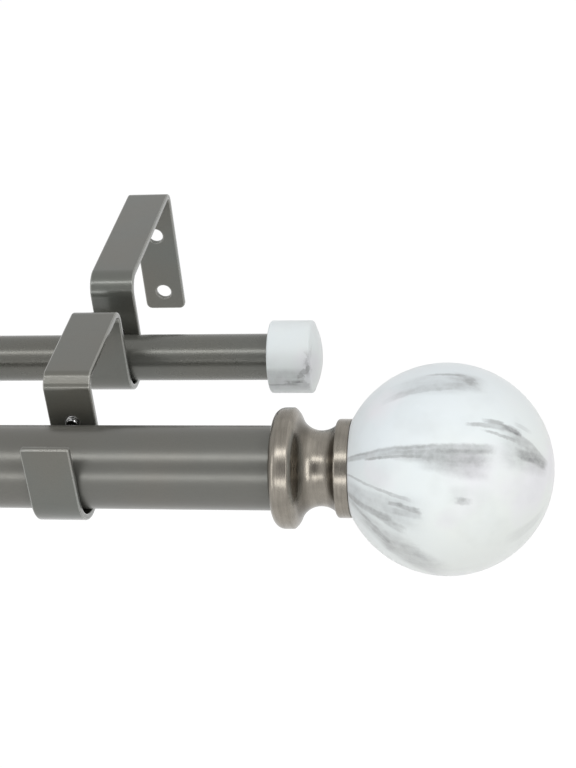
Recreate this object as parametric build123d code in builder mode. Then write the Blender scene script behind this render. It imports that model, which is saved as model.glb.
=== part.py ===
from build123d import *
import os

# Double curtain pole. X runs along the poles, Y points into the wall, Z is up.
# The origin is on the wall face, in the middle of the four wall screws. Sizes are in millimetres.
os.makedirs("parts", exist_ok=True)

# Poles: drawn steel tubes
front_pole_diameter = 25.4
front_pole_wall = 1.0
front_pole_beyond_bracket = 65.0
front_pole_from_wall = 140.3
rear_pole_diameter = 15.5
rear_pole_wall = 1.0
rear_pole_beyond_bracket = 65.0
rear_pole_from_wall = 75.3

# Brackets: one folded strip of steel each
bracket_spacing = 580.0
strip_width = 15.0
strip_thickness = 2.0
strip_edge_radius = 0.4
plate_height = 49.3
plate_corner_radius = 2.2
lip_corner_radius = 1.0
rear_arm_above_screws = 30.0
front_arm_above_screws = 30.0
rear_pole_axis_height = 4.7
front_pole_axis_height = 6.45
lip_height = 23.5
rear_cradle_play = 2.0
front_cradle_play = 1.1

# Bends of the strip, measured on its middle line; the front arm's is two half bends with a facet between
wall_bend_radius = 3.2
rear_arm_bend_radius = 6.0
rear_cradle_bend_radius = 7.5
riser_bend_radius = 4.2
front_arm_bend_facet = 2.7
front_arm_bend_radius = 2.2
front_cradle_bend_radius = 11.0

# Wall screw holes
wall_screw_spacing = 24.0
wall_screw_hole_diameter = 5.5

# Lock screws, one through each leg
lock_screw_diameter = 4.0
lock_screw_tip_chamfer = 0.5
lock_screw_head_diameter = 7.6
lock_screw_head_height = 2.6
lock_screw_head_gap = 1.4
recess_width = 1.0
recess_span = 4.2
recess_depth = 1.5
front_lock_screw_rise = 7.5
rear_lock_screw_rise = 4.6

# Finial collar, along the pole from its end
collar_length = 23.2
collar_bore_diameter = 6.6
flange_radius = 18.1
flange_rim_end = 5.7
flange_back_radius = 3.3
flange_edge_radius = 0.6
flange_edge_sweep = 42.0
flange_lip_radius = 6.1
flange_lip_sweep = 26.0
neck_radius = 11.3
neck_position = 14.5
ring_radius = 14.7
ring_width = 4.4
ring_edge_radius = 0.9
ring_seat_chamfer = 0.2
ring_foot_radius = 13.3

# Finial ball
ball_diameter = 62.5
ball_seat_radius = 14.5
ball_socket_depth = 16.0

# Stud and plug that hold the finial
stud_diameter = 6.0
plug_length = 20.0
stud_grip_in_plug = 14.0
plug_groove_width = 1.6
plug_groove_depth = 0.8
plug_groove_count = 3

# Rear end caps
cap_diameter = 24.2
cap_cover = 10.7
cap_body_beyond_pole = 3.6
cap_edge_radius = 1.0
cap_dome_height = 2.6
cap_mouth_chamfer = 0.4
cap_bottom_gap = 0.3

# Clearances
seat_clearance = 0.05
thread_clearance = 0.05
socket_clearance = 0.1

# Each pole runs on past the middle of both brackets
front_pole_length = bracket_spacing + 2 * front_pole_beyond_bracket
rear_pole_length = bracket_spacing + 2 * rear_pole_beyond_bracket
front_pole_radius = front_pole_diameter / 2
rear_pole_radius = rear_pole_diameter / 2
half_strip = strip_thickness / 2

# Heights of the two cradle floors, just under the poles that lie in them
rear_floor_height = rear_pole_axis_height - rear_pole_radius - seat_clearance
front_floor_height = front_pole_axis_height - front_pole_radius - seat_clearance

# Distances of the strip's faces from the wall
rear_leg_face = rear_pole_from_wall - rear_pole_radius - rear_cradle_play / 2
riser_back_face = rear_pole_from_wall + rear_pole_radius + rear_cradle_play / 2
front_leg_face = front_pole_from_wall - front_pole_radius - front_cradle_play / 2
lip_back_face = front_pole_from_wall + front_pole_radius + front_cradle_play / 2

sides = {"left": -1, "right": 1}


def pole(axis_from_wall, axis_height, length, radius, wall):
    """Tube along X with a round bore"""
    with BuildPart() as tube:
        with BuildSketch(Plane.YZ.offset(-length / 2)):
            with Locations((-axis_from_wall, axis_height)):
                Circle(radius)
                Circle(radius - wall, mode=Mode.SUBTRACT)
        extrude(amount=length)
    return tube


front_pole = pole(
    front_pole_from_wall, front_pole_axis_height, front_pole_length, front_pole_radius, front_pole_wall
)
front_pole.part.label = "front_pole"
export_step(front_pole.part, "parts/front_pole.step")

rear_pole = pole(
    rear_pole_from_wall, rear_pole_axis_height, rear_pole_length, rear_pole_radius, rear_pole_wall
)
rear_pole.part.label = "rear_pole"
export_step(rear_pole.part, "parts/rear_pole.step")

# Middle line of the folded strip in the YZ plane, from the foot of the wall plate to the top of the lip
plate_y = -half_strip
rear_arm_z = rear_arm_above_screws - half_strip
rear_leg_y = half_strip - rear_leg_face
rear_floor_z = rear_floor_height - half_strip
riser_y = -half_strip - riser_back_face
front_arm_z = front_arm_above_screws - half_strip
front_leg_y = half_strip - front_leg_face
front_floor_z = front_floor_height - half_strip
lip_y = -half_strip - lip_back_face
strip_line = [
    (plate_y, rear_arm_above_screws - plate_height),
    (plate_y, rear_arm_z),
    (rear_leg_y, rear_arm_z),
    (rear_leg_y, rear_floor_z),
    (riser_y, rear_floor_z),
    (riser_y, front_arm_z),
    (front_leg_y + front_arm_bend_facet, front_arm_z),
    (front_leg_y, front_arm_z - front_arm_bend_facet),
    (front_leg_y, front_floor_z),
    (lip_y, front_floor_z),
    (lip_y, lip_height),
]
strip_bends = [
    wall_bend_radius,
    rear_arm_bend_radius,
    rear_cradle_bend_radius,
    rear_cradle_bend_radius,
    riser_bend_radius,
    front_arm_bend_radius,
    front_arm_bend_radius,
    front_cradle_bend_radius,
    front_cradle_bend_radius,
]

# Heights of the lock screws' axes, above the middle of the pole that each one holds
front_lock_screw_height = front_pole_axis_height + front_lock_screw_rise
rear_lock_screw_height = rear_pole_axis_height + rear_lock_screw_rise

for side_name, side in sides.items():
    bracket_x = side * bracket_spacing / 2
    with BuildPart() as bracket:
        with BuildSketch(Plane.YZ.offset(bracket_x - strip_width / 2)):
            with BuildLine():
                FilletPolyline(*strip_line, radius=strip_bends)
            trace(line_width=strip_thickness)
        extrude(amount=strip_width)
        # Rounded corners at the plate's foot and at the top of the lip
        across_strip = bracket.edges().filter_by(Axis.Y)
        fillet(across_strip.group_by(Axis.Z)[0], radius=plate_corner_radius)
        lip_corners = bracket.edges().filter_by(Axis.Y).filter_by_position(
            Axis.Z, lip_height - half_strip, lip_height + half_strip
        )
        fillet(lip_corners, radius=lip_corner_radius)
        # Softened edges along both sides of the strip
        side_faces = bracket.faces().filter_by(Axis.X)
        fillet(side_faces.edges(), radius=strip_edge_radius)
        # Wall screw holes, drilled through the plate alone
        plate_front = Plane((bracket_x, -strip_thickness, 0), x_dir=(1, 0, 0), z_dir=(0, -1, 0))
        with Locations(plate_front):
            with GridLocations(wall_screw_spacing, wall_screw_spacing, 1, 2):
                Hole(wall_screw_hole_diameter / 2, depth=strip_thickness)
        # Threaded holes of the two lock screws
        for leg_face, screw_height in (
            (rear_leg_face, rear_lock_screw_height),
            (front_leg_face, front_lock_screw_height),
        ):
            with Locations(Plane((bracket_x, -leg_face, screw_height), z_dir=(0, -1, 0))):
                Hole(lock_screw_diameter / 2 + thread_clearance, depth=strip_thickness)
    bracket.part.label = f"bracket_{side_name}"
    export_step(bracket.part, f"parts/bracket_{side_name}.step")


def surface_depth(rise, radius):
    """How far in front of a pole's back its surface lies, at a height above its middle"""
    return radius - (radius**2 - rise**2) ** 0.5


lock_screws = {
    "front": (
        front_pole_from_wall,
        front_pole_radius,
        front_leg_face,
        front_lock_screw_rise,
        front_lock_screw_height,
    ),
    "rear": (
        rear_pole_from_wall,
        rear_pole_radius,
        rear_leg_face,
        rear_lock_screw_rise,
        rear_lock_screw_height,
    ),
}

for side_name, side in sides.items():
    bracket_x = side * bracket_spacing / 2
    for place, screw_sizes in lock_screws.items():
        pole_from_wall, pole_radius, leg_face, screw_rise, screw_height = screw_sizes
        # The lower rim of the tip bears on the pole's shoulder
        tip_radius = lock_screw_diameter / 2 - lock_screw_tip_chamfer
        tip_rise = screw_rise - tip_radius
        pole_back = pole_from_wall - pole_radius
        tip_from_wall = pole_back + surface_depth(tip_rise, pole_radius) - seat_clearance
        head_from_wall = leg_face - strip_thickness - lock_screw_head_gap
        with BuildPart() as lock_screw:
            with BuildSketch(Plane((bracket_x, -head_from_wall, screw_height), z_dir=(0, -1, 0))):
                Circle(lock_screw_diameter / 2)
            extrude(amount=tip_from_wall - head_from_wall)
            tip_edge = lock_screw.edges().group_by(Axis.Y)[0]
            chamfer(tip_edge, length=lock_screw_tip_chamfer)
            with BuildSketch(Plane((bracket_x, -head_from_wall, screw_height), z_dir=(0, 1, 0))):
                Circle(lock_screw_head_diameter / 2)
            extrude(amount=lock_screw_head_height)
            head_edge = lock_screw.edges().filter_by(GeomType.CIRCLE).group_by(Axis.Y)[-1]
            fillet(head_edge, radius=lock_screw_head_height / 2)
            # Cross recess for the screwdriver
            head_top = lock_screw_head_height - head_from_wall
            with BuildSketch(Plane((bracket_x, head_top, screw_height), z_dir=(0, 1, 0))):
                Rectangle(recess_span, recess_width)
                Rectangle(recess_width, recess_span)
            extrude(amount=-recess_depth, mode=Mode.SUBTRACT)
        lock_screw.part.label = f"{place}_lock_screw_{side_name}"
        export_step(lock_screw.part, f"parts/{place}_lock_screw_{side_name}.step")

# Finials: each profile is drawn along the pole's axis, from the end of the pole outwards
stud_radius = stud_diameter / 2
ball_radius = ball_diameter / 2
ball_seat_position = collar_length + seat_clearance
ball_middle = ball_seat_position + (ball_radius**2 - ball_seat_radius**2) ** 0.5
plug_radius = front_pole_radius - front_pole_wall - seat_clearance
ring_start = collar_length - ring_width

for side_name, side in sides.items():
    front_end = Plane(
        origin=(side * front_pole_length / 2, -front_pole_from_wall, front_pole_axis_height),
        x_dir=(side, 0, 0),
        z_dir=(0, -side, 0),
    )
    front_axis = Axis(front_end.origin, front_end.x_dir)

    # Collar: flange against the pole, hollow neck curve, ring under the ball
    with BuildPart() as collar:
        with BuildSketch(front_end):
            with BuildLine():
                bore = collar_bore_diameter / 2
                back_rim_radius = flange_radius - flange_back_radius
                back_face = Line((seat_clearance, bore), (seat_clearance, back_rim_radius))
                back_round = RadiusArc(
                    back_face @ 1,
                    (seat_clearance + flange_back_radius, flange_radius),
                    flange_back_radius,
                )
                rim = Line(back_round @ 1, (flange_rim_end, flange_radius))
                edge = JernArc(rim @ 1, rim % 1, flange_edge_radius, -flange_edge_sweep)
                lip_round = JernArc(edge @ 1, edge % 1, flange_lip_radius, -flange_lip_sweep)
                neck = ThreePointArc(
                    lip_round @ 1, (neck_position, neck_radius), (ring_start, ring_foot_radius)
                )
                ring_side = Line(neck @ 1, (ring_start, ring_radius - ring_edge_radius))
                ring_round = RadiusArc(
                    ring_side @ 1, (ring_start + ring_edge_radius, ring_radius), ring_edge_radius
                )
                ring_rim = Line(ring_round @ 1, (collar_length - ring_seat_chamfer, ring_radius))
                ring_bevel = Line(ring_rim @ 1, (collar_length, ring_radius - ring_seat_chamfer))
                ring_face = Line(ring_bevel @ 1, (collar_length, bore))
                Line(ring_face @ 1, back_face @ 0)
            make_face()
        revolve(axis=front_axis)
    collar.part.label = f"finial_collar_{side_name}"
    export_step(collar.part, f"parts/finial_collar_{side_name}.step")

    # Ball: flat seat against the ring, blind socket for the stud
    with BuildPart() as ball:
        with BuildSketch(front_end):
            with BuildLine():
                socket_radius = stud_radius + thread_clearance
                socket_end = collar_length + ball_socket_depth
                seat = Line((ball_seat_position, socket_radius), (ball_seat_position, ball_seat_radius))
                around = ThreePointArc(
                    seat @ 1, (ball_middle, ball_radius), (ball_middle + ball_radius, 0)
                )
                centre_line = Line(around @ 1, (socket_end, 0))
                socket_floor = Line(centre_line @ 1, (socket_end, socket_radius))
                Line(socket_floor @ 1, seat @ 0)
            make_face()
        revolve(axis=front_axis)
    ball.part.label = f"finial_ball_{side_name}"
    export_step(ball.part, f"parts/finial_ball_{side_name}.step")

    # Stud through the collar, from the plug into the ball
    with BuildPart() as stud:
        with BuildSketch(front_end):
            with BuildLine():
                stud_in = -stud_grip_in_plug
                stud_out = collar_length + ball_socket_depth - socket_clearance
                Polyline(
                    (stud_in, 0),
                    (stud_in, stud_radius),
                    (stud_out, stud_radius),
                    (stud_out, 0),
                    close=True,
                )
            make_face()
        revolve(axis=front_axis)
        chamfer(stud.edges().filter_by(GeomType.CIRCLE), length=stud_radius / 4)
    stud.part.label = f"finial_stud_{side_name}"
    export_step(stud.part, f"parts/finial_stud_{side_name}.step")

    # Plug pressed into the end of the tube, grooved outside, threaded bore for the stud
    with BuildPart() as plug:
        with BuildSketch(front_end):
            with BuildLine():
                thread_radius = stud_radius + thread_clearance
                Polyline(
                    (-plug_length, thread_radius),
                    (-plug_length, plug_radius),
                    (0, plug_radius),
                    (0, thread_radius),
                    close=True,
                )
            make_face()
            groove_pitch = plug_length / (plug_groove_count + 1)
            with Locations(*[(-groove_pitch * (n + 1), plug_radius) for n in range(plug_groove_count)]):
                Rectangle(plug_groove_width, 2 * plug_groove_depth, mode=Mode.SUBTRACT)
        revolve(axis=front_axis)
    plug.part.label = f"finial_plug_{side_name}"
    export_step(plug.part, f"parts/finial_plug_{side_name}.step")

    # Cap over the end of the rear pole: blind socket, straight body, low domed end
    rear_end = Plane(
        origin=(side * rear_pole_length / 2, -rear_pole_from_wall, rear_pole_axis_height),
        x_dir=(side, 0, 0),
        z_dir=(0, -side, 0),
    )
    with BuildPart() as cap:
        with BuildSketch(rear_end):
            with BuildLine():
                cap_radius = cap_diameter / 2
                socket_radius = rear_pole_radius + socket_clearance
                mouth = Line((-cap_cover, socket_radius), (-cap_cover, cap_radius - cap_mouth_chamfer))
                mouth_bevel = Line(mouth @ 1, (cap_mouth_chamfer - cap_cover, cap_radius))
                body = Line(mouth_bevel @ 1, (cap_body_beyond_pole - cap_edge_radius, cap_radius))
                edge_round = RadiusArc(
                    body @ 1, (cap_body_beyond_pole, cap_radius - cap_edge_radius), cap_edge_radius
                )
                dome_end = cap_body_beyond_pole + cap_dome_height
                dome_rim = cap_radius - cap_edge_radius
                dome_radius = (dome_rim**2 + cap_dome_height**2) / (2 * cap_dome_height)
                dome = RadiusArc(edge_round @ 1, (dome_end, 0), dome_radius)
                centre_line = Line(dome @ 1, (cap_bottom_gap, 0))
                socket_floor = Line(centre_line @ 1, (cap_bottom_gap, socket_radius))
                Line(socket_floor @ 1, mouth @ 0)
            make_face()
        revolve(axis=Axis(rear_end.origin, rear_end.x_dir))
    cap.part.label = f"rear_cap_{side_name}"
    export_step(cap.part, f"parts/rear_cap_{side_name}.step")
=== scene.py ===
import math

import bmesh
import bpy
from mathutils import Matrix, Quaternion, Vector


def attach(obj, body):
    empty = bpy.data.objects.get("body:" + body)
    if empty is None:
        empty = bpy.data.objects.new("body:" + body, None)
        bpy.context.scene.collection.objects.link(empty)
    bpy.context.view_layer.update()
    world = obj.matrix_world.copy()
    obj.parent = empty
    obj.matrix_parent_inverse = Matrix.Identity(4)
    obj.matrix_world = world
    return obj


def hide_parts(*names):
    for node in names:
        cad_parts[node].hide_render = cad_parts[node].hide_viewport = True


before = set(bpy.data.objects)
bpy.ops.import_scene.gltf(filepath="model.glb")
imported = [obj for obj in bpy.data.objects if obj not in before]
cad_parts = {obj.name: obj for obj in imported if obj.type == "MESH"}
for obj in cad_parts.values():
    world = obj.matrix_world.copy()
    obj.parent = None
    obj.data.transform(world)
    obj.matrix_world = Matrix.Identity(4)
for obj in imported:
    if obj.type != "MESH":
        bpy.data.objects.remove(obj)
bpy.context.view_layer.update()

# Brackets
# Two wall brackets, each one strip of mild steel, 15 mm wide and 2 mm thick, folded over formers into wall
# plate, arms, cradles and front lip. They are drilled, deburred and sprayed with a grey-brown metallic
# lacquer.
bracket_half_spacing = 0.290
strip_width = 0.015
strip_thickness = 0.002
strip_foot_height = -0.0193
lip_height = 0.0235
foot_corner_radius = 0.0022
lip_corner_radius = 0.0010
deburred_edge = 0.0005
wall_hole_radius = 0.00275
wall_hole_heights = (-0.012, 0.012)
lock_hole_radius = 0.00205
drill_length = 0.008

# Folds from the wall plate to the lip: corner of the middle line (Y, Z), its radius, and how far it turns.
# The front arm's fold is two half turns with a facet between, as a press brake leaves it.
folds = [
    (-0.00100, 0.0290, 0.0032, 90),
    (-0.06555, 0.0290, 0.0060, 90),
    (-0.06555, -0.0041, 0.0075, -90),
    (-0.08505, -0.0041, 0.0075, -90),
    (-0.08505, 0.0290, 0.0042, 90),
    (-0.12335, 0.0290, 0.0022, 45),
    (-0.12605, 0.0263, 0.0022, 45),
    (-0.12605, -0.0073, 0.0110, -90),
    (-0.15455, -0.0073, 0.0110, -90),
]
lock_hole_places = ((-0.06555, 0.0093), (-0.12605, 0.01395))


def settle(piece):
    """Turn the piece's modifiers into its mesh, and leave the object at the origin"""
    bpy.context.view_layer.update()
    evaluated = piece.evaluated_get(bpy.context.evaluated_depsgraph_get())
    finished = bpy.data.meshes.new_from_object(evaluated)
    piece.modifiers.clear()
    rough = piece.data
    piece.data = finished
    bpy.data.meshes.remove(rough)


def new_object(name, bm):
    """Mesh object at the origin from a bmesh"""
    mesh = bpy.data.meshes.new(name)
    bm.to_mesh(mesh)
    bm.free()
    made = bpy.data.objects.new(name, mesh)
    bpy.context.scene.collection.objects.link(made)
    return made


def shade_even(piece, sharp_above):
    """Smooth shading that keeps flats flat and corners sharp"""
    piece.data.shade_smooth()
    piece.data.set_sharp_from_angle(angle=math.radians(sharp_above))
    weighted = piece.modifiers.new("even", "WEIGHTED_NORMAL")
    weighted.keep_sharp = True
    weighted.weight = 80
    settle(piece)


def combine(piece, other, operation="DIFFERENCE"):
    """Cut another object out of the piece, or join it on, and take that object away"""
    change = piece.modifiers.new("change", "BOOLEAN")
    change.operation = operation
    change.solver = "EXACT"
    change.object = other
    settle(piece)
    mesh = other.data
    bpy.data.objects.remove(other)
    bpy.data.meshes.remove(mesh)


def drilled(piece, centre, radius, segments=48):
    """Drill a round hole through the piece along Y"""
    bm = bmesh.new()
    bmesh.ops.create_cone(
        bm, cap_ends=True, segments=segments, radius1=radius, radius2=radius, depth=drill_length,
        matrix=Matrix.Translation(centre) @ Matrix.Rotation(math.pi / 2, 4, "X"),
    )
    combine(piece, new_object("drill", bm))


def spun(bm, geom, centre, axis, angle, steps, rise=(0, 0, 0), closed=False):
    """Sweep an outline round an axis, and give what lies at the sweep's end"""
    return bmesh.ops.spin(
        bm, geom=geom, cent=centre, axis=axis, dvec=rise, angle=angle, steps=steps, use_merge=closed,
        use_duplicate=False,
    )["geom_last"]


def folded_strip(name, centre_x, finish, edge_highlight_finish):
    """The strip's middle surface, run by run and fold by fold, then its thickness, holes and soft edges"""
    bm = bmesh.new()
    foot = [
        bm.verts.new((centre_x + side * strip_width / 2, folds[0][0], strip_foot_height)) for side in (-1, 1)
    ]
    edge = [bm.edges.new(foot)]
    place = Vector((0, folds[0][0], strip_foot_height))
    heading = Vector((0, 0, 1))
    for fold_y, fold_z, radius, degrees in folds + [(folds[-1][0], lip_height, 0, 0)]:
        turn = math.radians(degrees)
        run_end = Vector((0, fold_y, fold_z)) - radius * math.tan(abs(turn) / 2) * heading
        out = bmesh.ops.extrude_edge_only(bm, edges=edge)["geom"]
        edge = [g for g in out if isinstance(g, bmesh.types.BMEdge)]
        ends = [g for g in out if isinstance(g, bmesh.types.BMVert)]
        bmesh.ops.translate(bm, verts=ends, vec=run_end - place)
        place = run_end
        if radius:
            towards = Matrix.Rotation(math.copysign(math.pi / 2, turn), 3, "X") @ heading
            middle = place + radius * towards
            out = spun(bm, edge + ends, middle, (1, 0, 0), turn, max(9, abs(degrees) // 5))
            edge = [g for g in out if isinstance(g, bmesh.types.BMEdge)]
            place = middle + Matrix.Rotation(turn, 3, "X") @ (place - middle)
            heading = Matrix.Rotation(turn, 3, "X") @ heading
    # Round the two corners at the foot and the two at the top of the lip
    for height, corner_radius in ((strip_foot_height, foot_corner_radius), (lip_height, lip_corner_radius)):
        corners = [v for v in bm.verts if abs(v.co.z - height) < 1e-6 and len(v.link_faces) == 1]
        bmesh.ops.bevel(
            bm, geom=corners, offset=corner_radius, segments=6, profile=0.5, affect="VERTICES", material=-1,
            offset_type="OFFSET",
        )
    bmesh.ops.recalc_face_normals(bm, faces=bm.faces)
    strip = new_object(name, bm)
    strip.data.materials.append(finish)
    strip.data.materials.append(edge_highlight_finish)
    gauge = strip.modifiers.new("gauge", "SOLIDIFY")
    gauge.thickness = strip_thickness
    gauge.offset = 0
    gauge.use_even_offset = True
    settle(strip)
    for height in wall_hole_heights:
        drilled(strip, (centre_x, folds[0][0], height), wall_hole_radius)
    for hole_y, hole_z in lock_hole_places:
        drilled(strip, (centre_x, hole_y, hole_z), lock_hole_radius, 32)
    softened = strip.modifiers.new("deburr", "BEVEL")
    softened.width = deburred_edge
    softened.segments = 3
    # The bevelled edges take the second material, whose lighter tone paints a highlight along them
    softened.material = 1
    softened.limit_method = "ANGLE"
    softened.angle_limit = math.radians(40)
    softened.use_clamp_overlap = True
    settle(strip)
    shade_even(strip, 50)
    return strip


def sockets(group, in_out, **kinds):
    """Named inputs or outputs of a shader node group"""
    for name, kind in kinds.items():
        group.interface.new_socket(name, in_out=in_out, socket_type="NodeSocket" + kind)


def feed(tree, socket, value):
    """Link what another node gives, or set what is the same all over"""
    if isinstance(value, bpy.types.NodeSocket):
        tree.links.new(value, socket)
    elif value is not None:
        socket.default_value = value


def joined(tree, kind, *inputs, **settings):
    """A node with its settings made and its first inputs set or linked, in order"""
    node = tree.nodes.new(kind)
    for name, value in settings.items():
        setattr(node, name, value)
    for socket, value in zip(node.inputs, inputs):
        feed(tree, socket, value)
    return node


def grouped(tree, group, **values):
    """What a node group gives, with its inputs set or linked by name"""
    node = tree.nodes.new("ShaderNodeGroup")
    node.node_tree = group
    for name, value in values.items():
        feed(tree, node.inputs[name], value)
    return node.outputs


def maths(tree, operation, *inputs, clamp=False):
    """Result of one Math node"""
    return joined(tree, "ShaderNodeMath", *inputs, operation=operation, use_clamp=clamp).outputs[0]


def ramp(tree, value, *ends, smooth=False):
    """Value led from its first two ends to the next two, which are 0 and 1 unless given"""
    kind = "SMOOTHSTEP" if smooth else "LINEAR"
    return joined(tree, "ShaderNodeMapRange", value, *ends, interpolation_type=kind).outputs[0]


def new_material(name):
    """Empty node material and its tree"""
    material = bpy.data.materials.new(name)
    material.use_nodes = True
    material.node_tree.nodes.clear()
    return material, material.node_tree


def own_place(tree):
    """Coordinates on the object itself"""
    return tree.nodes.new("ShaderNodeTexCoord").outputs["Object"]


def stretched(tree, place, scale):
    """Coordinates scaled along each axis"""
    return joined(tree, "ShaderNodeMapping", place, None, None, scale).outputs[0]


def noise(tree, place, scale, detail=2.0, rough=0.5, output="Fac"):
    """Value of a noise texture, about 0.5 on average"""
    made = tree.nodes.new("ShaderNodeTexNoise")
    for name, value in (("Vector", place), ("Scale", scale), ("Detail", detail), ("Roughness", rough)):
        feed(tree, made.inputs[name], value)
    return made.outputs[output]


def blended(tree, share, first, second):
    """Colour between two, by share"""
    mix = tree.nodes.new("ShaderNodeMix")
    mix.data_type = "RGBA"
    for name, value in (("Factor", share), ("A", first), ("B", second)):
        feed(tree, next(s for s in mix.inputs if s.name == name and s.enabled), value)
    return next(s for s in mix.outputs if s.enabled)


def bumped(tree, height, strength, depth):
    """Normal that follows a fine height"""
    made = tree.nodes.new("ShaderNodeBump")
    for name, value in (("Strength", strength), ("Distance", depth), ("Height", height)):
        feed(tree, made.inputs[name], value)
    return made.outputs[0]


def surface(tree, shader, kind="ShaderNodeOutputMaterial"):
    """Link the shader to the tree's output"""
    tree.links.new(shader.outputs[0], tree.nodes.new(kind).inputs["Surface"])


def shaded(tree, colour, roughness, normal=None, **constants):
    """Principled surface; what is the same all over it is set on the shader's own sockets"""
    shader = tree.nodes.new("ShaderNodeBsdfPrincipled")
    inputs = {"Base_Color": colour, "Roughness": roughness, "Normal": normal, **constants}
    for name, value in inputs.items():
        feed(tree, shader.inputs[name.replace("_", " ")], value)
    surface(tree, shader)


# Sprayed metallic lacquer: drifts a little between a warm and a cool tone, with fine flake and slight orange
# peel
flake_metal = 0.52
peel_strength = 0.06
peel_depth = 0.0002
lacquer = bpy.data.node_groups.new("sprayed lacquer", "ShaderNodeTree")
sockets(lacquer, "INPUT", Place="Vector", Warm="Color", Cool="Color", Flake="Float", Dull="Float")
sockets(lacquer, "OUTPUT", Color="Color", Roughness="Float", Height="Float")
inside = lacquer.nodes.new("NodeGroupInput").outputs
outside = lacquer.nodes.new("NodeGroupOutput").inputs
drift = ramp(lacquer, noise(lacquer, inside["Place"], 35), 0.35, 0.65)
tone = blended(lacquer, drift, inside["Cool"], inside["Warm"])
flake = noise(lacquer, inside["Place"], 4200, 1)
flake_lift = maths(lacquer, "MULTIPLY", maths(lacquer, "SUBTRACT", flake, 0.5), inside["Flake"])
lit_tone = joined(lacquer, "ShaderNodeVectorMath", tone, operation="SCALE")
lacquer.links.new(maths(lacquer, "MULTIPLY_ADD", flake_lift, 3.0, 1.0), lit_tone.inputs["Scale"])
lacquer.links.new(lit_tone.outputs[0], outside["Color"])
patch = noise(lacquer, inside["Place"], 260, 3)
dullness = maths(lacquer, "MULTIPLY_ADD", maths(lacquer, "SUBTRACT", patch, 0.5), 0.10, inside["Dull"])
lacquer.links.new(dullness, outside["Roughness"])
peel = noise(lacquer, inside["Place"], 620)
lacquer.links.new(maths(lacquer, "MULTIPLY_ADD", flake, 0.12, peel), outside["Height"])


def lacquered(name, warm, cool, dull, flake_share, coat, coat_dull):
    """Metallic lacquer under a clear coat"""
    material, tree = new_material(name)
    paint = grouped(
        tree, lacquer, Place=own_place(tree), Warm=(*warm, 1), Cool=(*cool, 1), Dull=dull, Flake=flake_share
    )
    shaded(
        tree, paint["Color"], paint["Roughness"], bumped(tree, paint["Height"], peel_strength, peel_depth),
        Metallic=flake_metal, Coat_Weight=coat, Coat_Roughness=coat_dull,
    )
    return material


bracket_lacquer = lacquered(
    "bracket lacquer", warm=(0.125, 0.122, 0.104), cool=(0.117, 0.123, 0.110), dull=0.32, flake_share=0.08,
    coat=0.65, coat_dull=0.13,
)
# A lighter lacquer on the deburred edges: a painted highlight along them
edge_highlight_lacquer = lacquered(
    "bracket lacquer with painted edge highlight", warm=(0.250, 0.245, 0.222), cool=(0.238, 0.246, 0.230), dull=0.28,
    flake_share=0.08, coat=0.65, coat_dull=0.13,
)
for side_name, side in (("left", -1), ("right", 1)):
    bracket = folded_strip(
        f"bracket_strip_{side_name}", side * bracket_half_spacing, bracket_lacquer, edge_highlight_lacquer
    )
    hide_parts(f"bracket_{side_name}")
    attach(bracket, "root")

# Poles
# Front and rear poles: thin-walled drawn steel tubes, cut square, their ends deburred, sprayed like the
# brackets. The front one carries the curtain, the thinner rear one the net; both lie loose in the cradles.
pole_half_length = 0.355
pole_wall = 0.001
pole_burr = 0.0002
pole_sizes = {
    "front_pole": (0.0127, (-0.1403, 0.00645)),
    "rear_pole": (0.00775, (-0.0753, 0.0047)),
}


def line_to(bm, point, along, out):
    """Draw a lathe outline on to a point, given along the axis and out from it"""
    made = bmesh.ops.extrude_vert_indiv(bm, verts=[point])["verts"][0]
    made.co = (along, 0, out)
    return made


def arc_to(bm, point, along, out, degrees, steps=10):
    """Carry a lathe outline round a centre; a positive turn leads from outward to further along"""
    turned = spun(bm, [point], (along, 0, out), (0, 1, 0), math.radians(degrees), steps)
    return next(g for g in turned if isinstance(g, bmesh.types.BMVert))


def lathed(name, bm, steps, end_x=0.0, axis_place=(0.0, 0.0), side=1, sharp_above=35):
    """Spin the outline round the axis, then set it in place on its pole, mirrored for the left end"""
    spun(bm, bm.verts[:] + bm.edges[:], (0, 0, 0), (1, 0, 0), math.tau, steps, closed=True)
    bmesh.ops.remove_doubles(bm, verts=bm.verts, dist=1e-6)
    bmesh.ops.scale(bm, vec=(side, 1, 1), verts=bm.verts)
    bmesh.ops.translate(bm, vec=(side * end_x, *axis_place), verts=bm.verts)
    bmesh.ops.recalc_face_normals(bm, faces=bm.faces)
    piece = new_object(name, bm)
    shade_even(piece, sharp_above)
    return piece


pole_finishes = {
    "front_pole": lacquered(
        "pole lacquer", warm=(0.142, 0.137, 0.121), cool=(0.137, 0.137, 0.124), dull=0.31, flake_share=0.08,
        coat=0.20, coat_dull=0.25,
    ),
    "rear_pole": lacquered(
        "thin pole lacquer", warm=(0.137, 0.135, 0.119), cool=(0.133, 0.135, 0.122), dull=0.28,
        flake_share=0.08, coat=0.20, coat_dull=0.20,
    ),
}
for pole_name, (radius, axis_place) in pole_sizes.items():
    outline = bmesh.new()
    inner = radius - pole_wall
    start = outline.verts.new((-pole_half_length, 0, inner))
    tip = line_to(outline, start, -pole_half_length, radius - pole_burr)
    tip = line_to(outline, tip, pole_burr - pole_half_length, radius)
    tip = line_to(outline, tip, pole_half_length - pole_burr, radius)
    tip = line_to(outline, tip, pole_half_length, radius - pole_burr)
    tip = line_to(outline, tip, pole_half_length, inner)
    outline.edges.new((tip, start))
    tube = lathed(f"{pole_name}_tube", outline, 128, axis_place=axis_place)
    tube.data.materials.append(pole_finishes[pole_name])
    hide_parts(pole_name)
    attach(tube, "root")

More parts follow.
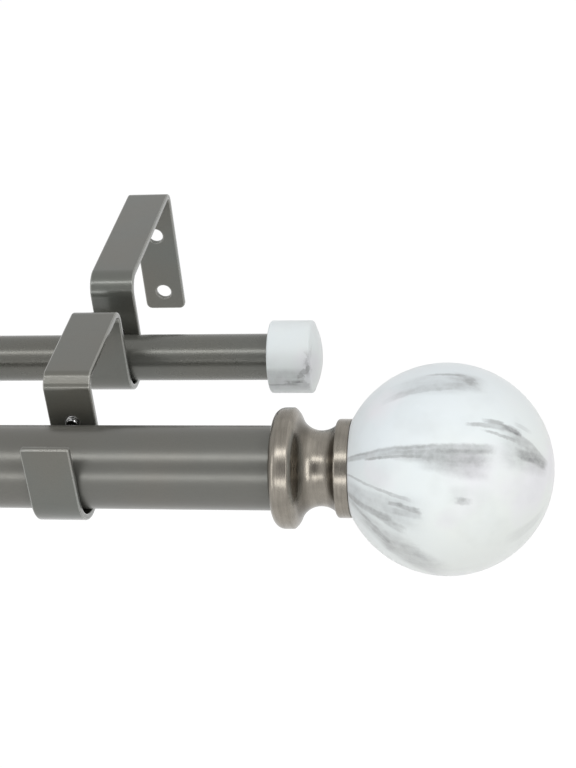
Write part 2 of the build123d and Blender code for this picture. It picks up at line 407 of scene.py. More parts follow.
# Lock screws
# Machine screws of 4 mm, rolled thread, pan head with a cross recess, bright zinc plated. Each runs through
# its leg and bears on the pole's shoulder, so that the pole can't be pulled out of the cradle.
thread_radius = 0.0020
thread_root_radius = 0.00158
thread_pitch = 0.00095
thread_crest = thread_pitch / 8
thread_flank = thread_pitch * 0.27
thread_run_in = thread_pitch * 0.72
steps_a_turn = 28
tip_chamfer = 0.0005
head_radius = 0.0038
head_height = 0.0026
head_overlap = 0.0002
recess_width = 0.0010
recess_span = 0.0042
recess_depth = 0.0015
recess_over = 0.0002
# Of each screw: Y under its head, Y at its tip, and its height; then a Y between the two legs
screw_places = {
    "front": (-0.12365, -0.1290567, 0.01395),
    "rear": (-0.06315, -0.0681470, 0.0093),
}
between_legs = -0.095


def threaded_screw(name, centre_x, head_y, tip_y, height):
    """Thread spun as a helix along Y, cut square at both ends, with its head turned and recessed"""
    turns = math.ceil((head_y - tip_y) / thread_pitch) + 2
    bm = bmesh.new()
    start_y = tip_y - thread_run_in
    profile = [
        (thread_root_radius, 0), (thread_radius, thread_flank), (thread_radius, thread_flank + thread_crest),
        (thread_root_radius, 2 * thread_flank + thread_crest), (thread_root_radius, thread_pitch),
    ]
    points = [bm.verts.new((out, start_y + along, 0)) for out, along in profile]
    for first, second in zip(points, points[1:]):
        bm.edges.new((first, second))
    spun(
        bm, bm.verts[:] + bm.edges[:], (0, 0, 0), (0, 1, 0), math.tau * turns, steps_a_turn * turns,
        rise=(0, thread_pitch / steps_a_turn, 0),
    )
    bmesh.ops.remove_doubles(bm, verts=bm.verts, dist=2e-6)
    for cut_y, outward in ((tip_y, -1), (head_y + head_overlap, 1)):
        bmesh.ops.bisect_plane(
            bm, geom=bm.verts[:] + bm.edges[:] + bm.faces[:], plane_co=(0, cut_y, 0),
            plane_no=(0, outward, 0), clear_outer=True,
        )
    # The tip is chamfered: nothing there stands further out than a 45 degree cone
    for vert in bm.verts:
        reach = math.hypot(vert.co.x, vert.co.z)
        allowed = thread_radius - tip_chamfer + (vert.co.y - tip_y)
        if reach > allowed:
            vert.co.x *= allowed / reach
            vert.co.z *= allowed / reach
    bmesh.ops.holes_fill(bm, edges=[e for e in bm.edges if e.is_boundary], sides=0)
    bmesh.ops.recalc_face_normals(bm, faces=bm.faces)
    bmesh.ops.translate(bm, vec=(centre_x, 0, height), verts=bm.verts)
    shank = new_object(name, bm)

    head = bmesh.new()
    tip = head.verts.new((0, head_y, 0))
    for along in (0, head_height / 2):
        tip = bmesh.ops.extrude_vert_indiv(head, verts=[tip])["verts"][0]
        tip.co = (head_radius, head_y + along, 0)
    crown = spun(
        head, [tip], (head_radius - head_height / 2, head_y + head_height / 2, 0), (0, 0, 1), math.pi / 2, 8
    )
    crown = next(g for g in crown if isinstance(g, bmesh.types.BMVert))
    top = bmesh.ops.extrude_vert_indiv(head, verts=[crown])["verts"][0]
    top.co = (0, head_y + head_height, 0)
    spun(head, head.verts[:] + head.edges[:], (0, 0, 0), (0, 1, 0), math.tau, 48, closed=True)
    bmesh.ops.remove_doubles(head, verts=head.verts, dist=1e-6)
    bmesh.ops.recalc_face_normals(head, faces=head.faces)
    bmesh.ops.translate(head, vec=(centre_x, 0, height), verts=head.verts)
    turned_head = new_object(name + "_head", head)
    for span, width in ((recess_span, recess_width), (recess_width, recess_span)):
        punch = bmesh.new()
        middle_y = head_y + head_height - recess_depth / 2 + recess_over / 2
        bmesh.ops.create_cube(
            punch, size=1.0,
            matrix=Matrix.Translation((centre_x, middle_y, height))
            @ Matrix.Diagonal((span, recess_depth + recess_over, width, 1)),
        )
        combine(turned_head, new_object("punch", punch))
    combine(shank, turned_head, "UNION")
    shade_even(shank, 30)
    return shank


def from_axis(tree, first, second):
    """Distance from an axis, by the offsets in two directions across it"""
    return maths(tree, "SQRT", maths(
        tree, "ADD", maths(tree, "MULTIPLY", first, first), maths(tree, "MULTIPLY", second, second)))


# Bright zinc, with painted shade in the thread's root: it goes by the distance from the nearest screw's axis
thread_root_shade = (0.035, 0.035, 0.033, 1)
root_shade_full_to = thread_root_radius + 0.00012
unshaded_from = thread_radius - 0.00006
plated, tree = new_material("bright zinc plate")
place = own_place(tree)
parts = joined(tree, "ShaderNodeSeparateXYZ", place).outputs
is_front = maths(tree, "LESS_THAN", parts[1], between_legs)
front_height, rear_height = screw_places["front"][2], screw_places["rear"][2]
axis_height = maths(tree, "MULTIPLY_ADD", is_front, front_height - rear_height, rear_height)
above_axis = maths(tree, "SUBTRACT", parts[2], axis_height)
aside = maths(tree, "SUBTRACT", maths(tree, "ABSOLUTE", parts[0]), bracket_half_spacing)
unshaded_share = ramp(tree, from_axis(tree, above_axis, aside), root_shade_full_to, unshaded_from)
smear = noise(tree, place, 1500, 3)
zinc = blended(tree, smear, (0.62, 0.63, 0.64, 1), (0.84, 0.84, 0.83, 1))
shaded(
    tree, blended(tree, unshaded_share, thread_root_shade, zinc), maths(tree, "MULTIPLY_ADD", smear, 0.12, 0.14), Metallic=1.0
)

for side_name, side in (("left", -1), ("right", 1)):
    for position, (head_y, tip_y, height) in screw_places.items():
        screw = threaded_screw(
            f"{position}_screw_{side_name}", side * bracket_half_spacing, head_y, tip_y, height
        )
        screw.data.materials.append(plated)
        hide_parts(f"{position}_lock_screw_{side_name}")
        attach(screw, "root")

# Studs and plugs
# Hidden fixings: a black moulded plug pressed into each end of the front tube, and the steel stud that joins
# plug, collar and ball. Nothing of them shows once the finial is on, so the CAD solids stay and only take
# finishes.
moulded, tree = new_material("black moulded plug")
grain = noise(tree, own_place(tree), 1800)
shaded(
    tree, blended(tree, grain, (0.010, 0.010, 0.011, 1), (0.022, 0.022, 0.023, 1)),
    maths(tree, "MULTIPLY_ADD", grain, 0.2, 0.45),
)

turned, tree = new_material("turned steel stud")
lines = noise(tree, stretched(tree, own_place(tree), (9000, 200, 200)), 1.0)
shaded(
    tree, blended(tree, lines, (0.42, 0.42, 0.42, 1), (0.60, 0.60, 0.59, 1)),
    maths(tree, "MULTIPLY_ADD", lines, 0.2, 0.2), Metallic=1.0,
)

for side_name in ("left", "right"):
    for node_name, finish in ((f"finial_plug_{side_name}", moulded), (f"finial_stud_{side_name}", turned)):
        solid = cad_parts[node_name]
        solid.data.materials.clear()
        solid.data.materials.append(finish)

# Collars
# Finial collars: turned brass, nickel plated and brushed on the lathe, so fine lines run round them. A broad
# flange closes the pole's end, a hollow neck narrows behind it, and a ring carries the ball.
collar_bore = 0.0033
flange_radius = 0.0181
flange_start = 0.00005
flange_rim_end = 0.0057
flange_back_radius = 0.0033
flange_edge_radius = 0.0006
flange_edge_sweep = 42
flange_lip_radius = 0.0061
flange_lip_sweep = 26
neck_waist = Vector((0.0145, 0.0113))
ring_start = 0.0188
ring_end = 0.0232
ring_foot = 0.0133
ring_radius = 0.0147
ring_edge = 0.0009
ring_bevel = 0.0002
front_axis = pole_sizes["front_pole"][1]


def hollow_middle(first, second, third):
    """Middle of the circle through three points of the outline"""
    near, far = second - first, third - first
    turned = Vector((
        far.y * near.length_squared - near.y * far.length_squared,
        near.x * far.length_squared - far.x * near.length_squared,
    ))
    return first + turned / (2 * near.cross(far))


def collar_outline():
    """Half section of a collar, from its back face round the outside to its seat and bore"""
    bm = bmesh.new()
    start = bm.verts.new((flange_start, 0, collar_bore))
    tip = line_to(bm, start, flange_start, flange_radius - flange_back_radius)
    tip = arc_to(bm, tip, flange_start + flange_back_radius, flange_radius - flange_back_radius, 90)
    tip = line_to(bm, tip, flange_rim_end, flange_radius)
    tip = arc_to(bm, tip, flange_rim_end, flange_radius - flange_edge_radius, flange_edge_sweep, 8)
    inward = flange_lip_radius - flange_edge_radius
    tilt = math.radians(flange_edge_sweep)
    tip = arc_to(
        bm, tip, flange_rim_end - inward * math.sin(tilt),
        flange_radius - flange_edge_radius - inward * math.cos(tilt), flange_lip_sweep, 14,
    )
    lip_end = Vector((tip.co.x, tip.co.z))
    foot = Vector((ring_start, ring_foot))
    middle = hollow_middle(lip_end, neck_waist, foot)
    sweep = math.degrees((lip_end - middle).angle_signed(foot - middle))
    tip = arc_to(bm, tip, middle.x, middle.y, sweep, 28)
    tip = line_to(bm, tip, ring_start, ring_radius - ring_edge)
    tip = arc_to(bm, tip, ring_start + ring_edge, ring_radius - ring_edge, 90, 8)
    tip = line_to(bm, tip, ring_end - ring_bevel, ring_radius)
    tip = line_to(bm, tip, ring_end, ring_radius - ring_bevel)
    tip = line_to(bm, tip, ring_end, collar_bore)
    bm.edges.new((tip, start))
    return bm


# Brushing: lines round the pole's axis, each a slightly different tone, dullness and depth
brushing_strength = 0.22
brushing_depth = 0.00008
brushing = bpy.data.node_groups.new("lathe brushing", "ShaderNodeTree")
sockets(brushing, "INPUT", Place="Vector", Pale="Color", Deep="Color", Dull="Float")
sockets(brushing, "OUTPUT", Color="Color", Roughness="Float", Height="Float")
inside = brushing.nodes.new("NodeGroupInput").outputs
outside = brushing.nodes.new("NodeGroupOutput").inputs
fine_lines = noise(brushing, stretched(brushing, inside["Place"], (5200, 60, 60)), 1.0, 3, 0.6)
broad_lines = noise(brushing, stretched(brushing, inside["Place"], (1300, 130, 130)), 1.0)
clouds = noise(brushing, inside["Place"], 240, 3)
share = maths(brushing, "MULTIPLY_ADD", broad_lines, 0.45, maths(brushing, "MULTIPLY", clouds, 0.55))
share = ramp(brushing, share, 0.35, 0.65)
brushing.links.new(blended(brushing, share, inside["Deep"], inside["Pale"]), outside["Color"])
brushing.links.new(
    maths(brushing, "MULTIPLY_ADD", maths(brushing, "SUBTRACT", fine_lines, 0.5), 0.25, inside["Dull"]),
    outside["Roughness"],
)
brushing.links.new(maths(brushing, "MULTIPLY_ADD", broad_lines, 0.5, fine_lines), outside["Height"])

# Painted shade darkens the two corners of the hollow, beside the flange and beside the ring. Each band:
# millimetres out from the pole's end where it starts, is full, begins to fade and ends.
hollow_shade_bands = ((7.3, 8.3, 9.4, 11.8), (15.8, 17.8, 18.7, 18.9))
hollow_shade_share = 0.60
hollow_shade_tone = (0.080, 0.070, 0.056, 1)
nickel, tree = new_material("brushed warm nickel")
place = own_place(tree)
brushed = grouped(
    tree, brushing, Place=place, Pale=(0.306, 0.281, 0.244, 1), Deep=(0.224, 0.206, 0.177, 1), Dull=0.26
)
from_middle = maths(tree, "ABSOLUTE", joined(tree, "ShaderNodeSeparateXYZ", place).outputs[0])
mm_out = maths(tree, "MULTIPLY", maths(tree, "SUBTRACT", from_middle, pole_half_length), 1000.0)
bands = []
for starts, full, fades, ends in hollow_shade_bands:
    set_in = ramp(tree, mm_out, starts, full, smooth=True)
    bands.append(maths(tree, "MULTIPLY", set_in, ramp(tree, mm_out, ends, fades, smooth=True)))
hollow_shade = maths(tree, "MULTIPLY", maths(tree, "MAXIMUM", *bands), hollow_shade_share)
shaded(
    tree, blended(tree, hollow_shade, brushed["Color"], hollow_shade_tone), brushed["Roughness"],
    bumped(tree, brushed["Height"], brushing_strength, brushing_depth), Metallic=1.0,
)

for side_name, side in (("left", -1), ("right", 1)):
    collar = lathed(
        f"collar_{side_name}", collar_outline(), 160, end_x=pole_half_length, axis_place=front_axis, side=side
    )
    collar.data.materials.append(nickel)
    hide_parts(f"finial_collar_{side_name}")
    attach(collar, "root")

# Balls
# Finial balls: cast resin with a marble look. Grey colour is drawn through the white along the axis as it is
# poured, so the veins run out of the collar and feather away. A flat seat rests on the collar's ring.
ball_radius = 0.03125
ball_seat = 0.02325
ball_seat_radius = 0.0145
ball_middle = ball_seat + math.sqrt(ball_radius**2 - ball_seat_radius**2)
socket_radius = 0.00305
socket_end = 0.0392
cool_white = (0.712, 0.765, 0.790, 1)
green_white = (0.760, 0.792, 0.765, 1)
lavender_white = (0.752, 0.748, 0.782, 1)
vein_grey = (0.225, 0.230, 0.232, 1)
tint_drift = (0.55, -0.30, -0.70)
# Eddies in the pour: how fine they are, and how far they carry a vein aside
pour_eddies = ((90, 2.6), (420, 1.2), (1500, 0.9))

# One vein: a soft stroke in two coordinates. Its two flanks fall off over their own widths, and with Spread
# it opens like a wedge from a narrow start.
narrowest = 0.05
flank_fullness = 1.7
stroke_values = ("Start", "End", "Level", "Slope", "Bend", "Upper", "Lower", "Spread", "Fade", "Strength")
vein = bpy.data.node_groups.new("marble vein", "ShaderNodeTree")
sockets(vein, "INPUT", **dict.fromkeys(("Along", "Across", *stroke_values, "Grey"), "Float"))
sockets(vein, "OUTPUT", Grey="Float")
inside = vein.nodes.new("NodeGroupInput").outputs
outside = vein.nodes.new("NodeGroupOutput").inputs
gone = maths(vein, "SUBTRACT", inside["Along"], inside["Start"])
left = maths(vein, "SUBTRACT", inside["End"], inside["Along"])
curve = maths(vein, "MULTIPLY_ADD", gone, inside["Bend"], inside["Slope"])
path = maths(vein, "MULTIPLY_ADD", curve, gone, inside["Level"])
to_go = maths(vein, "DIVIDE", left, maths(vein, "ADD", gone, left), clamp=True)
width = maths(vein, "MAXIMUM", maths(
    vein, "SUBTRACT", 1.0, maths(vein, "MULTIPLY", to_go, inside["Spread"])), narrowest)
off = maths(vein, "DIVIDE", maths(vein, "SUBTRACT", inside["Across"], path), width)
above = maths(vein, "SUBTRACT", 1.0, maths(vein, "DIVIDE", off, inside["Upper"]))
under = maths(vein, "ADD", 1.0, maths(vein, "DIVIDE", off, inside["Lower"]))
flank = maths(vein, "MULTIPLY", maths(vein, "MINIMUM", above, under), flank_fullness, clamp=True)
ends = maths(vein, "DIVIDE", maths(vein, "MINIMUM", gone, left), inside["Fade"], clamp=True)
stroke = maths(vein, "MULTIPLY", ramp(vein, flank, smooth=True), ramp(vein, ends, smooth=True))
stroke = maths(vein, "MULTIPLY", stroke, inside["Strength"])
# Strokes darken together without ever passing full grey
vein.links.new(
    maths(vein, "ADD", inside["Grey"], maths(
        vein, "MULTIPLY", stroke, maths(vein, "SUBTRACT", 1.0, inside["Grey"], clamp=True))),
    outside["Grey"],
)

# Veins of the ball: degrees from the collar, then degrees round the axis, 0 at the front and 90 on top.
# Start, end, level, slope, bend, upper flank, lower flank, spread, fade, strength.
ball_veins = [
    # the long band out of the collar, darker along both edges, and the wedge that hangs from its far half
    (14, 122, 45.0, 0.022, 0, 3.7, 3.7, 0, 10, 0.46),
    (26, 92, 47.0, 0.015, 0, 1.0, 1.2, 0, 14, 0.30),
    (44, 84, 43.0, -0.005, 0, 1.1, 1.2, 0, 9, 0.58),
    (60, 122, 44.4, 0.0, 0, 4.6, 11.0, 0.6, 14, 0.40),
    (74, 119, 42, -0.10, 0, 8.0, 12, 0.5, 14, 0.37),
    # the thin line below it, its dashes, and the haze that fans out of the collar
    (14, 78, 30.6, -0.090, -0.0016, 1.3, 1.6, 0, 10, 0.42),
    (60, 72, 16.6, -0.03, 0, 1.7, 1.6, 0, 3, 0.46),
    (66, 82, 16.4, -0.19, 0, 2.3, 2.6, 0.4, 5, 0.56),
    (62, 82, 12.4, -0.05, 0, 2.6, 2.8, 0, 5, 0.30),
    (14, 88, 15.5, -0.05, 0, 12, 13, 0.2, 26, 0.34),
    # the band across its middle
    (14, 67, 6.8, 0.025, -0.0008, 3.6, 4.0, 0.1, 8, 0.46),
    (48, 73, 7.0, -0.20, -0.004, 3.6, 4.2, 0, 8, 0.44),
    (14, 52, 4, 0.02, 0, 10, 10, 0, 18, 0.32),
    (20, 86, -2, -0.10, 0, 20, 18, 0.3, 26, 0.12),
    # the lower one that falls away, with its dark end, and the broad haze beside it
    (30, 66, 3, -0.26, -0.0080, 2.8, 3.0, 0.3, 9, 0.42),
    (43, 67, -6.2, -0.45, 0, 2.4, 3.0, 0, 6, 0.46),
    (54, 68, -19, -0.15, 0, 5.4, 5.4, 0, 6, 0.34),
    (30, 90, -1, -0.16, -0.006, 12, 18, 0.3, 20, 0.31),
    (58, 98, -6, -0.75, 0, 14, 19, 0, 16, 0.31),
    (72, 85, -9, -1.1, 0, 6.0, 6.0, 0, 5, 0.14),
    # the lone blot
    (97, 109, 20.4, -0.12, 0, 2.6, 2.6, 0, 6, 0.50),
    (92, 110, 23, 0, 0, 6, 6, 0, 8, 0.14),
    # the line over the top with its knot
    (78, 107, 95.6, 0.01, 0, 1.6, 1.9, 0.4, 9, 0.46),
    (99, 110, 91.6, 0, 0, 4.8, 5.0, 0, 5, 0.66),
    (90, 117, 91, 0, 0, 10, 11, 0, 10, 0.32),
    (54, 109, 80.0, 0.09, 0, 7.0, 3.0, 0.3, 18, 0.27),
    (52, 114, 87, 0, 0, 14, 12, 0.3, 24, 0.24),
    # the one that bends over the far side, with dark dabs and a feathered patch
    (101, 137, 59.8, 0.16, -0.0020, 4.0, 4.4, 0.75, 7, 0.46),
    (112, 125, 64.6, 0.02, 0, 1.8, 1.9, 0, 3.5, 0.50),
    (121, 136, 63.2, -0.12, 0, 2.2, 2.2, 0, 3.5, 0.68),
    (110, 135, 58.4, -0.12, 0, 1.7, 1.8, 0.5, 6, 0.44),
    (126, 162, 63.5, -0.42, -0.004, 4.4, 8.5, 0, 8, 0.42),
    (129, 160, 49.5, -0.30, 0, 8, 8, 0.5, 8, 0.50),
    (133, 149, 46.6, 0, 0, 5.2, 5.2, 0, 6, 0.62),
    (145, 158, 44, -0.3, 0, 3.2, 3.4, 0, 4, 0.46),
    (116, 164, 55, -0.35, 0, 15, 18, 0, 15, 0.28),
    (129, 143, 68.5, 0, 0, 2.8, 2.6, 0, 5, 0.24),
    (120, 160, -14, -0.2, 0, 9, 8, 0, 14, 0.16),
    # the sides that the camera doesn't reach
    (14, 100, 122, 0.10, 0.001, 2.4, 9, 0.3, 14, 0.36),
    (40, 130, 145, -0.12, 0, 1.6, 3.0, 0, 16, 0.42),
    (84, 98, 140, -0.2, 0, 1.8, 2.2, 0, 4, 0.50),
    (16, 74, 164, -0.25, 0, 7, 3.0, 0.3, 14, 0.36),
    (70, 150, 128, -0.10, 0.002, 10, 5, 0, 20, 0.26),
    (14, 110, -54, 0.08, 0, 2.4, 10, 0.4, 16, 0.36),
    (54, 132, -84, 0.12, 0, 4, 2.2, 0, 16, 0.42),
    (70, 84, -83, 0.1, 0, 1.8, 2.0, 0, 4, 0.48),
    (14, 66, -104, 0.20, 0, 1.8, 3.4, 0, 12, 0.36),
    (90, 150, -62, -0.3, 0, 9, 5, 0, 18, 0.32),
    (14, 120, -138, 0.05, 0, 9, 2.6, 0.3, 18, 0.34),
    (66, 128, -162, 0.10, 0, 2.6, 7.0, 0.4, 14, 0.38),
    (100, 114, -160, 0, 0, 2.2, 2.0, 0, 4, 0.48),
]


def veined(tree, along, across, strokes, swapped):
    """Grey of all the strokes together; swapped ones run round the axis instead of along it"""
    grey = None
    for way, other_way, table in ((along, across, strokes), (across, along, swapped)):
        for values in table:
            grey = grouped(
                tree, vein, Along=way, Across=other_way, Grey=grey, **dict(zip(stroke_values, values))
            )["Grey"]
    return grey


def marble(name, centre, side, roll, measure, strokes, swapped=()):
    """White resin with grey veins, on coordinates centred on the piece and rolled about its axis"""
    material, tree = new_material(name)
    moved = joined(
        tree, "ShaderNodeVectorMath", own_place(tree), tuple(-c for c in centre), operation="ADD"
    ).outputs[0]
    local = joined(tree, "ShaderNodeMapping", moved, None, (roll, 0, 0), (side, 1, 1)).outputs[0]
    along, across = measure(tree, local)
    # Broad eddies bend the veins, small ones ravel their flanks
    for scale, reach in pour_eddies:
        eddy = joined(tree, "ShaderNodeSeparateColor", noise(tree, local, scale, output="Color")).outputs
        along = maths(tree, "ADD", along, maths(
            tree, "MULTIPLY", maths(tree, "SUBTRACT", eddy[0], 0.5), reach * 3.0))
        across = maths(tree, "ADD", across, maths(
            tree, "MULTIPLY", maths(tree, "SUBTRACT", eddy[1], 0.5), reach))
    grey = veined(tree, along, across, strokes, swapped)
    # Wisps along each vein and darker dabs in it, so that its tone is never even, and a faint mist between
    # them
    wisp_place = joined(
        tree, "ShaderNodeCombineXYZ", maths(tree, "MULTIPLY", along, 0.06),
        maths(tree, "MULTIPLY", across, 0.30), 0.0,
    ).outputs[0]
    wisp = ramp(tree, noise(tree, wisp_place, 1.0, 3, 0.55), 0.3, 0.7, 0.80, 1.14)
    dab = ramp(tree, noise(tree, local, 480, 3, 0.6), 0.35, 0.65, 0.84, 1.16)
    mist = ramp(tree, noise(tree, local, 75, 3), 0.50, 0.75, 0.0, 0.12)
    grey = maths(tree, "MULTIPLY", maths(tree, "MULTIPLY", grey, wisp), dab, clamp=True)
    grey = maths(tree, "MAXIMUM", grey, mist)
    # The white drifts from a cool tint near the collar to a greenish one, with lavender clouds
    fall = joined(tree, "ShaderNodeVectorMath", local, tint_drift, operation="DOT_PRODUCT").outputs["Value"]
    fall = maths(tree, "MULTIPLY_ADD", noise(tree, local, 60), 0.03, fall)
    ground = blended(tree, ramp(tree, fall, -0.008, 0.032), cool_white, green_white)
    clouds = ramp(tree, noise(tree, local, 52), 0.52, 0.70, 0.0, 0.8)
    ground = blended(tree, clouds, ground, lavender_white)
    shaded(
        tree, blended(tree, grey, ground, vein_grey),
        maths(tree, "MULTIPLY_ADD", noise(tree, local, 300), 0.08, 0.42),
        Specular_IOR_Level=0.35, Sheen_Weight=0.65, Sheen_Roughness=0.45,
    )
    return material


def round_axis(tree, parts):
    """Degrees round the pole's axis, 0 at the front and 90 on top"""
    return maths(tree, "DEGREES", maths(tree, "ARCTAN2", parts[2], maths(tree, "MULTIPLY", parts[1], -1.0)))


def round_ball(tree, local):
    """Degrees from the collar and degrees round the axis, on the ball"""
    parts = joined(tree, "ShaderNodeSeparateXYZ", local).outputs
    unit = joined(tree, "ShaderNodeVectorMath", local, operation="NORMALIZE").outputs[0]
    toward = joined(tree, "ShaderNodeSeparateXYZ", unit).outputs[0]
    along = maths(tree, "DEGREES", maths(tree, "ARCCOSINE", maths(tree, "MULTIPLY", toward, -1.0)))
    return along, round_axis(tree, parts)


for side_name, side, roll in (("left", -1, 2.2), ("right", 1, 0.0)):
    outline = bmesh.new()
    start = outline.verts.new((ball_seat, 0, socket_radius))
    tip = line_to(outline, start, ball_seat, ball_seat_radius)
    half_turn = 180 - math.degrees(math.asin(ball_seat_radius / ball_radius))
    tip = arc_to(outline, tip, ball_middle, 0, half_turn, 96)
    tip.co.z = 0
    tip = line_to(outline, tip, socket_end, 0)
    tip = line_to(outline, tip, socket_end, socket_radius)
    outline.edges.new((tip, start))
    ball = lathed(
        f"ball_{side_name}", outline, 160, end_x=pole_half_length, axis_place=front_axis, side=side
    )
    ball_centre = (side * (pole_half_length + ball_middle), *front_axis)
    ball.data.materials.append(
        marble(f"marble ball {side_name}", ball_centre, side, roll, round_ball, ball_veins)
    )
    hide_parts(f"finial_ball_{side_name}")
    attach(ball, "root")

# Rear caps
# Caps of the rear pole: the same marble-look resin, cast as a short socket with a low domed end, pushed on
# over the tube. The veins here run mostly round and along the barrel.
cap_radius = 0.0121
cap_mouth = -0.0107
cap_socket_radius = 0.00785
cap_socket_end = 0.0003
cap_body_end = 0.0036
cap_edge = 0.0010
cap_dome = 0.0026
cap_mouth_bevel = 0.0004
rear_axis = pole_sizes["rear_pole"][1]
dome_rim = cap_radius - cap_edge
dome_radius = (dome_rim**2 + cap_dome**2) / (2 * cap_dome)
dome_sweep = math.degrees(math.asin(dome_rim / dome_radius))

# Veins of the cap: millimetres along the axis from the pole's end, then degrees round it, as on the ball
cap_veins = [
    # the broad grey over the lower front: partly the marble's grey, partly painted shade from the pole and
    # collar in front
    (-16, 2.6, -2, 0.0, 0.0, 19, 40, 0, 1.6, 0.34),
    (-16, -1.0, -17.6, 0.0, 0, 2.6, 1.8, 0, 2.0, 0.46),
    (-6.0, 1.6, -17.0, 1.0, 0.02, 3.6, 2.8, 0.3, 2.0, 0.50),
    (-4.8, 0.8, -11.2, 0.25, 0, 4.0, 3.0, 0, 1.4, 0.50),
    (-1.8, 5.5, -5, 3.2, 0, 9, 8, 0.3, 1.6, 0.44),
    (1.4, 3.4, 23, 0, 0, 11, 9, 0, 0.7, 0.16),
    (-2, 8, 104, 0.4, 0, 2.4, 3.0, 0.4, 2.6, 0.14),
    (-14, 10, 138, 0.6, 0, 3, 16, 0, 3.0, 0.32),
    (-8, 12, -96, -0.8, 0, 2.4, 9, 0, 3.0, 0.40),
    (-14, 4, -142, 0.4, 0, 12, 2.6, 0, 2.0, 0.32),
]
cap_ring_veins = [
    (-6, 60, 5.6, 0.004, 0, 0.8, 1.0, 0, 16, 0.24),
    (-8, 46, 3.4, 0.008, 0, 1.5, 1.2, 0, 14, 0.36),
]


def round_cap(tree, local):
    """Millimetres along the barrel and then in over the dome, and degrees round the axis"""
    parts = joined(tree, "ShaderNodeSeparateXYZ", local).outputs
    out = from_axis(tree, parts[1], parts[2])
    inward = maths(tree, "MAXIMUM", maths(tree, "SUBTRACT", cap_radius, out), 0.0)
    along = maths(tree, "MULTIPLY", maths(tree, "ADD", parts[0], inward), 1000.0)
    return along, round_axis(tree, parts)


for side_name, side, roll in (("left", -1, 1.4), ("right", 1, 0.0)):
    outline = bmesh.new()
    start = outline.verts.new((cap_mouth, 0, cap_socket_radius))
    tip = line_to(outline, start, cap_mouth, cap_radius - cap_mouth_bevel)
    tip = line_to(outline, tip, cap_mouth + cap_mouth_bevel, cap_radius)
    tip = line_to(outline, tip, cap_body_end - cap_edge, cap_radius)
    tip = arc_to(outline, tip, cap_body_end - cap_edge, cap_radius - cap_edge, 90, 8)
    tip = arc_to(outline, tip, cap_body_end + cap_dome - dome_radius, 0, dome_sweep, 14)
    tip.co.z = 0
    tip = line_to(outline, tip, cap_socket_end, 0)
    tip = line_to(outline, tip, cap_socket_end, cap_socket_radius)
    outline.edges.new((tip, start))
    cap = lathed(
        f"cap_{side_name}", outline, 128, end_x=pole_half_length, axis_place=rear_axis, side=side
    )
    cap_centre = (side * pole_half_length, *rear_axis)
    cap.data.materials.append(
        marble(f"marble cap {side_name}", cap_centre, side, roll, round_cap, cap_veins, cap_ring_veins)
    )
    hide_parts(f"rear_cap_{side_name}")
    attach(cap, "root")

# Studio
# A pale floor well below the pole, a white surround, a grey card behind the camera and five soft lamps: a
# long one above the camera and one below it, which show as two bands along the tubes, an upright one on each
# side, and a broad weak one over the right-hand end.
floor_height = -0.45
floor_reach = 20.0
floor_grey = (0.80, 0.80, 0.80, 1)
floor_glow = 1.13
floor_glow_share = 0.8
white = (1, 1, 1, 1)
reflected_white = 0.8
surround_light = 0.62
lamp_target = Vector((0.30, -0.12, 0.01))
lamp_distance = 0.9
card_sides = (0.62, 0.58, 1)
card_away = Vector((0.19, -0.785, 0.57))
card_grey = (0.30, 0.30, 0.30, 1)


def light_paths(tree):
    """Whether a ray comes from the camera, and whether it shows the background, also by gloss or glass"""
    rays = tree.nodes.new("ShaderNodeLightPath").outputs
    return rays["Is Camera Ray"], maths(tree, "MAXIMUM", rays["Is Camera Ray"], maths(
        tree, "MAXIMUM", rays["Is Glossy Ray"], rays["Is Transmission Ray"]))


floor_bm = bmesh.new()
bmesh.ops.create_grid(
    floor_bm, x_segments=1, y_segments=1, size=floor_reach, matrix=Matrix.Translation((0, 0, floor_height))
)
floor = new_object("studio_floor", floor_bm)
floor_paint, tree = new_material("pale studio floor")
_, shows = light_paths(tree)
surface(tree, joined(
    tree, "ShaderNodeMixShader", maths(tree, "MULTIPLY", shows, floor_glow_share),
    joined(tree, "ShaderNodeBsdfDiffuse", floor_grey).outputs[0],
    joined(tree, "ShaderNodeEmission", white, floor_glow).outputs[0],
))
floor.data.materials.append(floor_paint)

world = bpy.data.worlds.new("studio surround")
world.use_nodes = True
tree = world.node_tree
tree.nodes.clear()
by_camera, shows = light_paths(tree)
shown_white = maths(tree, "MULTIPLY_ADD", by_camera, 1.0 - reflected_white, reflected_white)
surface(tree, joined(
    tree, "ShaderNodeMixShader", shows,
    joined(tree, "ShaderNodeBackground", white, surround_light).outputs[0],
    joined(tree, "ShaderNodeBackground", white, shown_white).outputs[0],
), "ShaderNodeOutputWorld")
bpy.context.scene.world = world


def soft_lamp(name, bearing, height, lean, width, depth, radiance, shift=0.0):
    """Soft rectangular lamp facing the pole's right-hand end, leaning over and shifted along the pole"""
    lamp = bpy.data.lights.new(name, "AREA")
    lamp.shape = "RECTANGLE"
    lamp.size, lamp.size_y = width, depth
    lamp.energy = radiance * math.pi * width * depth
    holder = bpy.data.objects.new(name, lamp)
    away = Vector((
        math.sin(math.radians(bearing)) * math.cos(math.radians(height)),
        -math.cos(math.radians(bearing)) * math.cos(math.radians(height)),
        math.sin(math.radians(height)),
    ))
    holder.location = lamp_target + lamp_distance * away + Vector((shift, 0, 0))
    holder.rotation_mode = "QUATERNION"
    holder.rotation_quaternion = away.to_track_quat("Z", "Y") @ Quaternion((0, 0, 1), math.radians(lean))
    holder.visible_camera = False
    bpy.context.scene.collection.objects.link(holder)


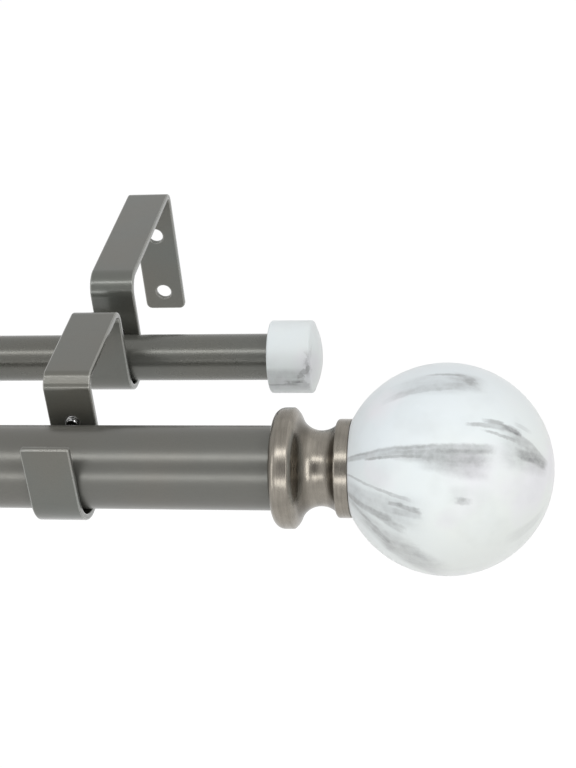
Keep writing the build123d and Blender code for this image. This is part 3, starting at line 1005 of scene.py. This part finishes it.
soft_lamp("lamp above the camera", 0, 63, 0, 0.95, 0.17, 4.0, -0.13)
soft_lamp("lamp below the camera", 0, 8.5, 0, 0.95, 0.17, 3.2, -0.13)
soft_lamp("upright lamp on the right", 46, 22, -24, 0.11, 0.85, 6.0)
soft_lamp("upright lamp on the left", -66, 12, 24, 0.14, 0.80, 3.0)
soft_lamp("broad lamp over the right end", 104, 46, 0, 1.30, 1.30, 0.33)

# The matt grey card, between the two long lamps, is the dark that the collar shows between them
card_bm = bmesh.new()
bmesh.ops.create_grid(card_bm, x_segments=1, y_segments=1, size=0.5)
bmesh.ops.scale(card_bm, vec=card_sides, verts=card_bm.verts)
bmesh.ops.rotate(card_bm, matrix=card_away.to_track_quat("Z", "Y").to_matrix(), verts=card_bm.verts)
bmesh.ops.translate(card_bm, vec=lamp_target + card_away, verts=card_bm.verts)
card = new_object("studio_card", card_bm)
card_paint, tree = new_material("matt grey card")
surface(tree, joined(tree, "ShaderNodeBsdfDiffuse", card_grey))
card.data.materials.append(card_paint)
card.visible_camera = False

# Camera
# The photograph's viewpoint: half a metre in front of the right-hand end, looking down and a little to the
# left.
camera_place = (0.43706, -0.52388, 0.28769)
camera_bearing = math.radians(11.15)
camera_fall = math.radians(32.73)
camera_roll = math.radians(-6.23)
camera_lens = 75.66
forward = Vector((
    -math.sin(camera_bearing) * math.cos(camera_fall),
    math.cos(camera_bearing) * math.cos(camera_fall),
    -math.sin(camera_fall),
))
level_right = Vector((math.cos(camera_bearing), math.sin(camera_bearing), 0))
level_up = level_right.cross(forward)
camera_right = level_right * math.cos(camera_roll) + level_up * math.sin(camera_roll)
camera_up = level_up * math.cos(camera_roll) - level_right * math.sin(camera_roll)
camera = bpy.data.objects.new("camera", bpy.data.cameras.new("camera"))
camera.data.sensor_width = 36
camera.data.lens = camera_lens
camera.data.clip_start = 0.01
camera.matrix_world = Matrix((
    (camera_right.x, camera_up.x, -forward.x, camera_place[0]),
    (camera_right.y, camera_up.y, -forward.y, camera_place[1]),
    (camera_right.z, camera_up.z, -forward.z, camera_place[2]),
    (0, 0, 0, 1),
))
bpy.context.scene.collection.objects.link(camera)
bpy.context.scene.camera = camera
bpy.context.scene.view_settings.view_transform = "Standard"
